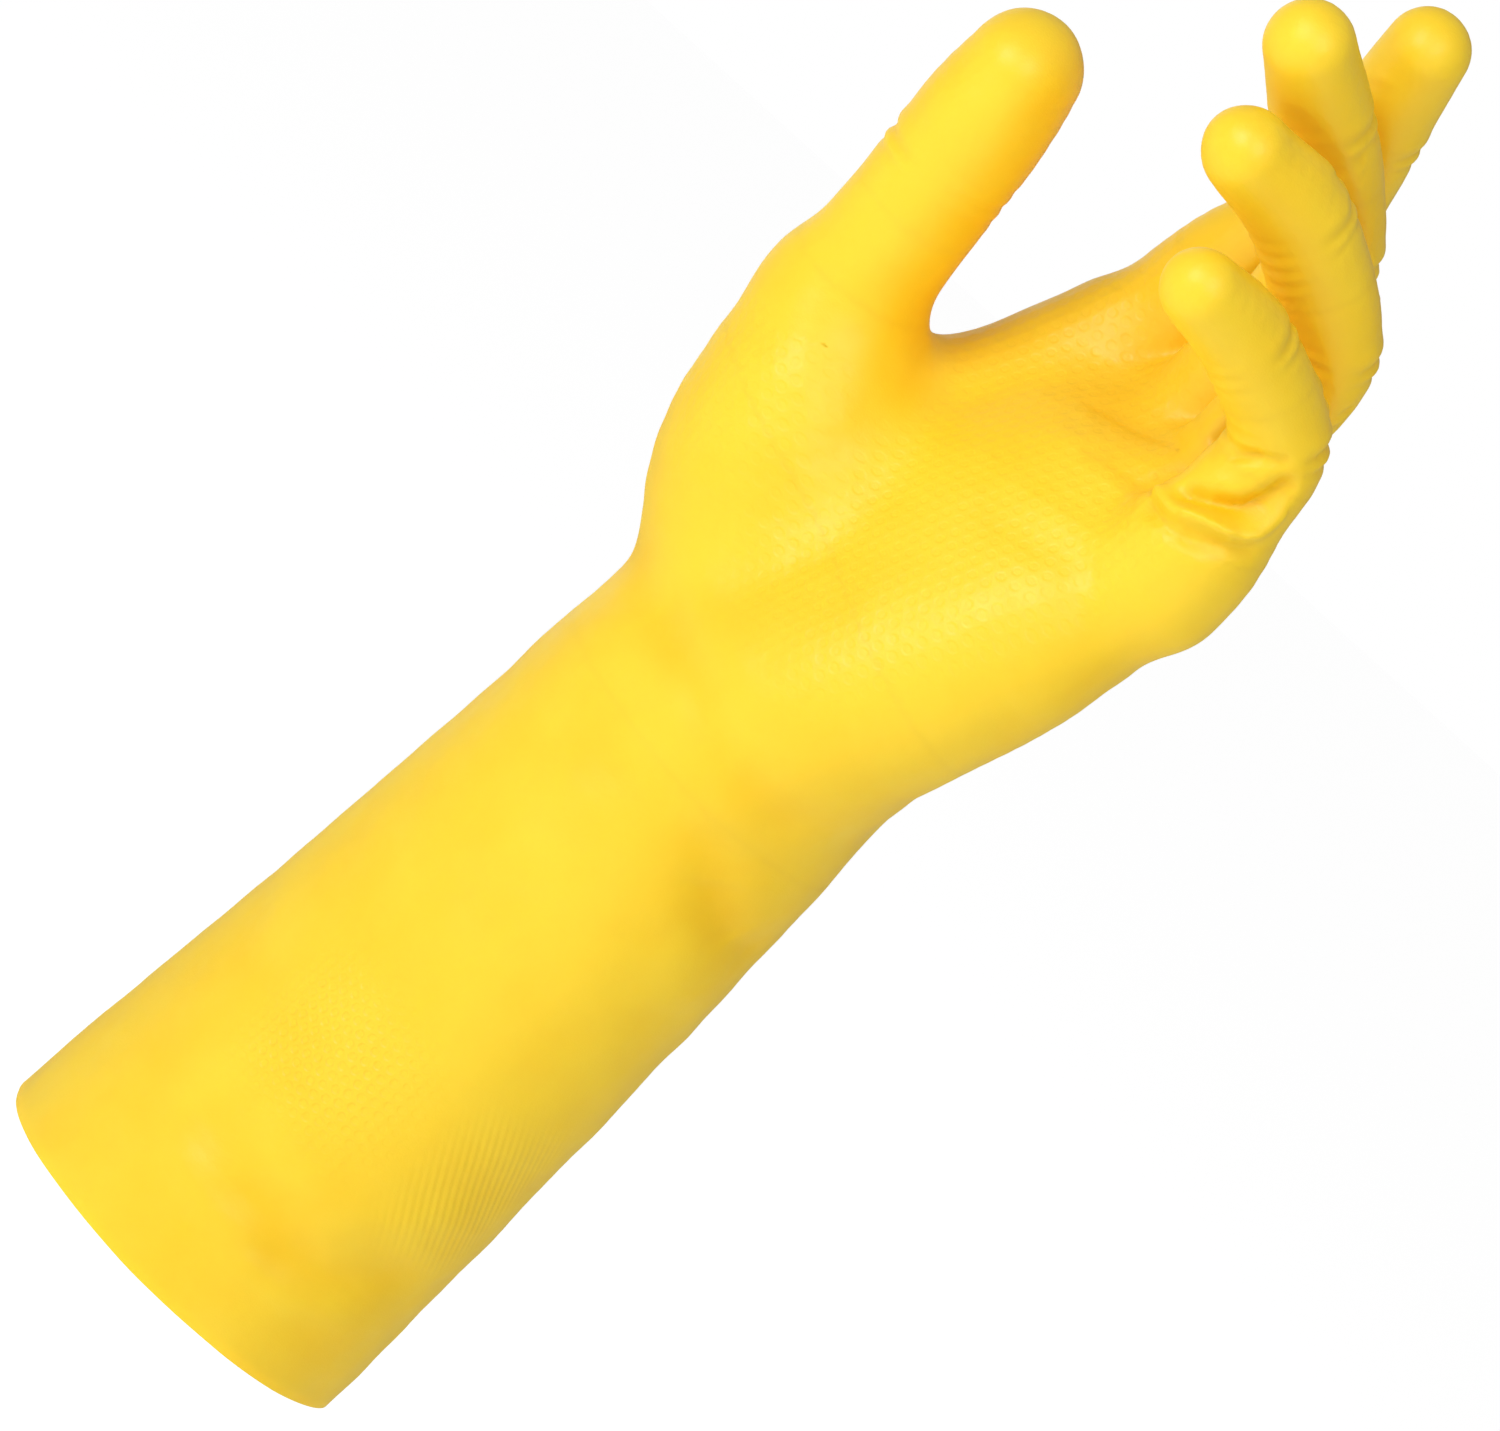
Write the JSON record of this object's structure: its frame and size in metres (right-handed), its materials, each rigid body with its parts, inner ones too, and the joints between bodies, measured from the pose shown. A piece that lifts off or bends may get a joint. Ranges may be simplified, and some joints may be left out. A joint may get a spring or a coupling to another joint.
{
  "type": "rubber glove",
  "caption": "Left-hand household rubber glove with a long straight cuff, flock lined, worn open for a grip, its fingers, thumb and wrist posable.",
  "frame": {"origin": "centre of the cuff opening, in the plane of the cut edge", "axes": "+Z along the forearm sleeve towards the fingers, palm facing -Y, thumb side -X, back of the hand +Y"},
  "size_m": [0.0942, 0.0875, 0.3075],
  "materials": {
    "latex_film": "satin dipped latex with a fine embossed grip mesh",
    "latex_fold": "satin dipped latex where the film folds",
    "flock_lining": "short cotton flock"
  },
  "bodies": {
    "cuff": {"cuff_sleeve": "latex_film", "cuff_sleeve_lining": "flock_lining", "wrist_side_fold": "latex_fold"},
    "wrist": {"wrist_section": "latex_film", "wrist_section_lining": "flock_lining", "wrist_crease": "latex_fold"},
    "palm": {"palm_shell": "latex_film", "palm_shell_lining": "flock_lining", "knuckle_fold": "latex_fold", "thumb_root_fold": "latex_fold"},
    "knuckles": {"knuckle_row": "latex_film", "knuckle_row_lining": "flock_lining", "index_root_fold": "latex_fold", "middle_root_fold": "latex_fold", "ring_root_fold": "latex_fold", "little_root_fold": "latex_fold"},
    "thumb_base": {"thumb_base": "latex_film", "thumb_base_lining": "flock_lining", "thumb_end_fold": "latex_fold"},
    "thumb_tip": {"thumb_tip": "latex_film", "thumb_tip_lining": "flock_lining"},
    "index_base": {"index_base": "latex_film", "index_base_lining": "flock_lining", "index_middle_fold": "latex_fold"},
    "index_middle": {"index_middle": "latex_film", "index_middle_lining": "flock_lining", "index_end_fold": "latex_fold"},
    "index_tip": {"index_tip": "latex_film", "index_tip_lining": "flock_lining"},
    "middle_base": {"middle_base": "latex_film", "middle_base_lining": "flock_lining", "middle_middle_fold": "latex_fold"},
    "middle_middle": {"middle_middle": "latex_film", "middle_middle_lining": "flock_lining", "middle_end_fold": "latex_fold"},
    "middle_tip": {"middle_tip": "latex_film", "middle_tip_lining": "flock_lining"},
    "ring_base": {"ring_base": "latex_film", "ring_base_lining": "flock_lining", "ring_middle_fold": "latex_fold"},
    "ring_middle": {"ring_middle": "latex_film", "ring_middle_lining": "flock_lining", "ring_end_fold": "latex_fold"},
    "ring_tip": {"ring_tip": "latex_film", "ring_tip_lining": "flock_lining"},
    "little_base": {"little_base": "latex_film", "little_base_lining": "flock_lining", "little_middle_fold": "latex_fold"},
    "little_middle": {"little_middle": "latex_film", "little_middle_lining": "flock_lining", "little_end_fold": "latex_fold"},
    "little_tip": {"little_tip": "latex_film", "little_tip_lining": "flock_lining"}
  },
  "joints": [
    {"name": "wrist_sideways", "type": "hinge", "parent": "cuff", "child": "wrist", "pos_m": [0, 0, 0.118], "axis": [0, 1, 0], "range_deg": [-15, 15], "stiffness_Nm_per_rad": 0.8, "deforming": ["wrist_side_fold"]},
    {"name": "wrist_bend", "type": "hinge", "parent": "wrist", "child": "palm", "pos_m": [0, 0, 0.1428], "axis": [0.9866, 0, -0.1633], "range_deg": [-25, 40], "stiffness_Nm_per_rad": 0.5, "deforming": ["wrist_crease"]},
    {"name": "knuckle_bend", "type": "hinge", "parent": "palm", "child": "knuckles", "pos_m": [0.0121, 0.01152, 0.21284], "axis": [0.9284, -0.0376, -0.3697], "range_deg": [-15, 20], "stiffness_Nm_per_rad": 0.3, "deforming": ["knuckle_fold"]},
    {"name": "thumb_root_bend", "type": "hinge", "parent": "palm", "child": "thumb_base", "pos_m": [-0.02272, -0.03258, 0.21145], "axis": [-0.7282, 0.6427, 0.2383], "range_deg": [-20, 3], "stiffness_Nm_per_rad": 0.08, "deforming": ["thumb_root_fold"]},
    {"name": "thumb_end_bend", "type": "hinge", "parent": "thumb_base", "child": "thumb_tip", "pos_m": [-0.02091, -0.03714, 0.22928], "axis": [-0.7282, 0.6427, 0.2383], "range_deg": [-10, 7], "stiffness_Nm_per_rad": 0.05, "deforming": ["thumb_end_fold"]},
    {"name": "index_root_bend", "type": "hinge", "parent": "knuckles", "child": "index_base", "pos_m": [-0.00521, 0.01164, 0.25024], "axis": [0.9407, -0.0316, -0.3376], "range_deg": [-15, 9], "stiffness_Nm_per_rad": 0.06, "deforming": ["index_root_fold"]},
    {"name": "index_middle_bend", "type": "hinge", "parent": "index_base", "child": "index_middle", "pos_m": [0.00064, 0.00912, 0.26676], "axis": [0.9407, -0.0316, -0.3376], "range_deg": [-18, 14], "stiffness_Nm_per_rad": 0.04, "deforming": ["index_middle_fold"]},
    {"name": "index_end_bend", "type": "hinge", "parent": "index_middle", "child": "index_tip", "pos_m": [0.00733, -0.00201, 0.28646], "axis": [0.9407, -0.0316, -0.3376], "range_deg": [-4, 12], "stiffness_Nm_per_rad": 0.03, "deforming": ["index_end_fold"]},
    {"name": "middle_root_bend", "type": "hinge", "parent": "knuckles", "child": "middle_base", "pos_m": [0.01327, 0.0091, 0.24747], "axis": [0.9688, -0.0151, -0.2474], "range_deg": [-8, 16], "stiffness_Nm_per_rad": 0.06, "deforming": ["middle_root_fold"]},
    {"name": "middle_middle_bend", "type": "hinge", "parent": "middle_base", "child": "middle_middle", "pos_m": [0.01805, 0.0019, 0.26661], "axis": [0.9688, -0.0151, -0.2474], "range_deg": [-14, 22], "stiffness_Nm_per_rad": 0.04, "deforming": ["middle_middle_fold"]},
    {"name": "middle_end_bend", "type": "hinge", "parent": "middle_middle", "child": "middle_tip", "pos_m": [0.02139, -0.02007, 0.28104], "axis": [0.9688, -0.0151, -0.2474], "range_deg": [-10, 30], "stiffness_Nm_per_rad": 0.03, "deforming": ["middle_end_fold"]},
    {"name": "ring_root_bend", "type": "hinge", "parent": "knuckles", "child": "ring_base", "pos_m": [0.02928, 0.00922, 0.23885], "axis": [0.9866, 0, -0.1633], "range_deg": [-7, 13], "stiffness_Nm_per_rad": 0.06, "deforming": ["ring_root_fold"]},
    {"name": "ring_middle_bend", "type": "hinge", "parent": "ring_base", "child": "ring_middle", "pos_m": [0.03226, 0.00501, 0.25683], "axis": [0.9866, 0, -0.1633], "range_deg": [-14, 20], "stiffness_Nm_per_rad": 0.04, "deforming": ["ring_middle_fold"]},
    {"name": "ring_end_bend", "type": "hinge", "parent": "ring_middle", "child": "ring_tip", "pos_m": [0.03395, -0.01828, 0.26706], "axis": [0.9866, 0, -0.1633], "range_deg": [-12, 30], "stiffness_Nm_per_rad": 0.03, "deforming": ["ring_end_fold"]},
    {"name": "little_root_bend", "type": "hinge", "parent": "knuckles", "child": "little_base", "pos_m": [0.04242, 0.00437, 0.22659], "axis": [0.9954, 0.0121, -0.0952], "range_deg": [-8, 18], "stiffness_Nm_per_rad": 0.06, "deforming": ["little_root_fold"]},
    {"name": "little_middle_bend", "type": "hinge", "parent": "little_base", "child": "little_middle", "pos_m": [0.04382, 0.00133, 0.2408], "axis": [0.9954, 0.0121, -0.0952], "range_deg": [-16, 18], "stiffness_Nm_per_rad": 0.04, "deforming": ["little_middle_fold"]},
    {"name": "little_end_bend", "type": "hinge", "parent": "little_middle", "child": "little_tip", "pos_m": [0.04474, -0.01703, 0.24815], "axis": [0.9954, 0.0121, -0.0952], "range_deg": [-14, 30], "stiffness_Nm_per_rad": 0.03, "deforming": ["little_end_fold"]}
  ]
}
